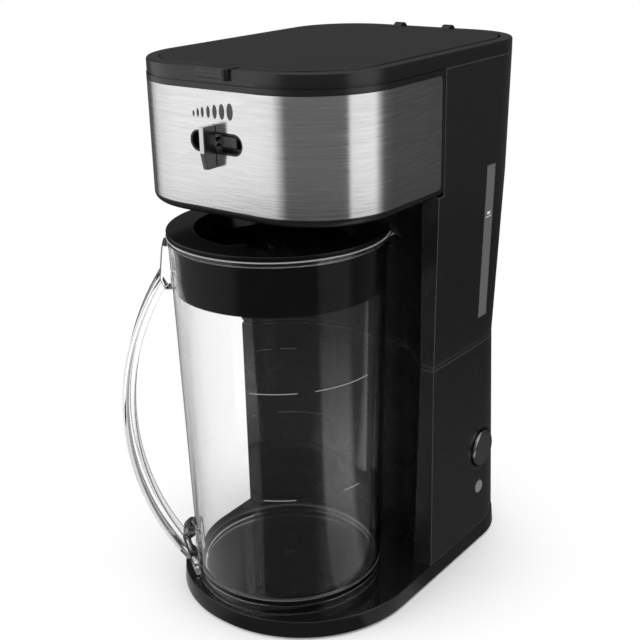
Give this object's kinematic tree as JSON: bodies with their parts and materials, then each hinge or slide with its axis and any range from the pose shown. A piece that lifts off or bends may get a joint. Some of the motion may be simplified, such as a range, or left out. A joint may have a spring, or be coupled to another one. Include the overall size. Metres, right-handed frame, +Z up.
{
  "type": "iced tea maker",
  "caption": "Iced tea maker with a rear water tank, brew head with hinged lid and strength slider, and a clear lidded pitcher standing in its bay.",
  "frame": {"origin": "on the surface the feet stand on, on the machine's middle plane and the pitcher's axis", "axes": "+Z up, front with the strength knob towards -Y, start button side towards +X"},
  "size_m": [0.1577, 0.2308, 0.3336],
  "materials": {
    "base_plate": "polished moulded black",
    "base_cover": "moulded black",
    "feet": "soft grey-black",
    "base_screws": "zinc plated",
    "lower_housing": "polished moulded black",
    "tank_shell": "polished moulded black",
    "water_window": "smoky translucent",
    "tank_screws": "zinc plated",
    "head_shell": "polished moulded black",
    "front_panel": "brushed along its length",
    "slot_bezel": "polished moulded black",
    "strength_knob": "polished moulded black",
    "strength_slider": "moulded black",
    "bypass_gate": "moulded black",
    "head_screws": "zinc plated",
    "brew_deck": "moulded black",
    "brew_basket": "moulded black",
    "filter_frame": "moulded black",
    "filter_mesh": "fine woven mesh",
    "lid_frame": "polished moulded black",
    "hinge_pins": "turned",
    "lid": "polished moulded black",
    "lid_liner": "moulded black",
    "pitcher_body": "clear moulded plastic",
    "pitcher_handle": "clear moulded plastic",
    "pitcher_lid": "satin moulded black",
    "button_bezel": "polished moulded black",
    "start_button": "polished moulded black",
    "button_spring": "drawn wire",
    "indicator_lens": "translucent",
    "control_board": "green laminate",
    "start_switch": "moulded black",
    "indicator_lamp": "clear resin",
    "board_screws": "zinc plated",
    "heater_block": "as cast",
    "heater_tube": "drawn",
    "heater_element": "sheathed",
    "heater_brackets": "pressed sheet",
    "bracket_screws": "zinc plated",
    "thermostat": "moulded",
    "thermal_fuse": "ceramic sleeve",
    "check_valve": "natural",
    "valve_ball": "smooth",
    "cold_hose": "translucent silicone",
    "hot_hose": "translucent silicone",
    "hose_clips": "spring band",
    "riser_tube": "moulded black",
    "riser_nozzle": "moulded black",
    "riser_seal": "silicone",
    "outlet_strainer": "moulded",
    "cord_gland": "matt black",
    "terminal_block": "moulded",
    "wiring": "insulated leads"
  },
  "bodies": {
    "machine": {"base_plate": "base_plate", "base_cover": "base_cover", "feet": "feet", "base_screws": "base_screws", "lower_housing": "lower_housing", "tank_shell": "tank_shell", "water_window": "water_window", "tank_screws": "tank_screws", "head_shell": "head_shell", "front_panel": "front_panel", "slot_bezel": "slot_bezel", "head_screws": "head_screws", "brew_deck": "brew_deck", "brew_basket": "brew_basket", "filter_frame": "filter_frame", "filter_mesh": "filter_mesh", "lid_frame": "lid_frame", "hinge_pins": "hinge_pins", "button_bezel": "button_bezel", "button_spring": "button_spring", "indicator_lens": "indicator_lens", "control_board": "control_board", "start_switch": "start_switch", "indicator_lamp": "indicator_lamp", "board_screws": "board_screws", "heater_block": "heater_block", "heater_tube": "heater_tube", "heater_element": "heater_element", "heater_brackets": "heater_brackets", "bracket_screws": "bracket_screws", "thermostat": "thermostat", "thermal_fuse": "thermal_fuse", "check_valve": "check_valve", "cold_hose": "cold_hose", "hot_hose": "hot_hose", "hose_clips": "hose_clips", "riser_tube": "riser_tube", "riser_nozzle": "riser_nozzle", "riser_seal": "riser_seal", "outlet_strainer": "outlet_strainer", "cord_gland": "cord_gland", "terminal_block": "terminal_block", "wiring": "wiring"},
    "lid_assembly": {"lid": "lid", "lid_liner": "lid_liner"},
    "strength_selector": {"strength_knob": "strength_knob", "strength_slider": "strength_slider", "bypass_gate": "bypass_gate"},
    "start_button_body": {"start_button": "start_button"},
    "pitcher": {"pitcher_body": "pitcher_body", "pitcher_handle": "pitcher_handle"},
    "pitcher_cover": {"pitcher_lid": "pitcher_lid"},
    "ball": {"valve_ball": "valve_ball"}
  },
  "joints": [
    {"name": "lid_hinge", "type": "hinge", "parent": "machine", "child": "lid_assembly", "pos_m": [0, 0.1545, 0.32925], "axis": [-1, 0, 0], "range_deg": [0, 100]},
    {"name": "strength_slide", "type": "slide", "parent": "machine", "child": "strength_selector", "axis": [1, 0, 0], "range_m": [-0.0104, 0.014]},
    {"name": "start_press", "type": "slide", "parent": "machine", "child": "start_button_body", "axis": [-1, 0, 0], "range_m": [0, 0.0018], "stiffness_N_per_m": 600, "springref_m": -0.0015, "deforming": ["button_spring"]},
    {"name": "pitcher_slide", "type": "slide", "parent": "machine", "child": "pitcher", "axis": [0, -1, 0], "range_m": [0, 0.22]},
    {"name": "pitcher_lid_turn", "type": "hinge", "parent": "pitcher", "child": "pitcher_cover", "pos_m": [0, 0, 0.236], "axis": [0, 0, 1], "continuous": true},
    {"name": "valve_ball_lift", "type": "slide", "parent": "machine", "child": "ball", "axis": [0, 0, 1], "range_m": [0, 0.0025]}
  ]
}
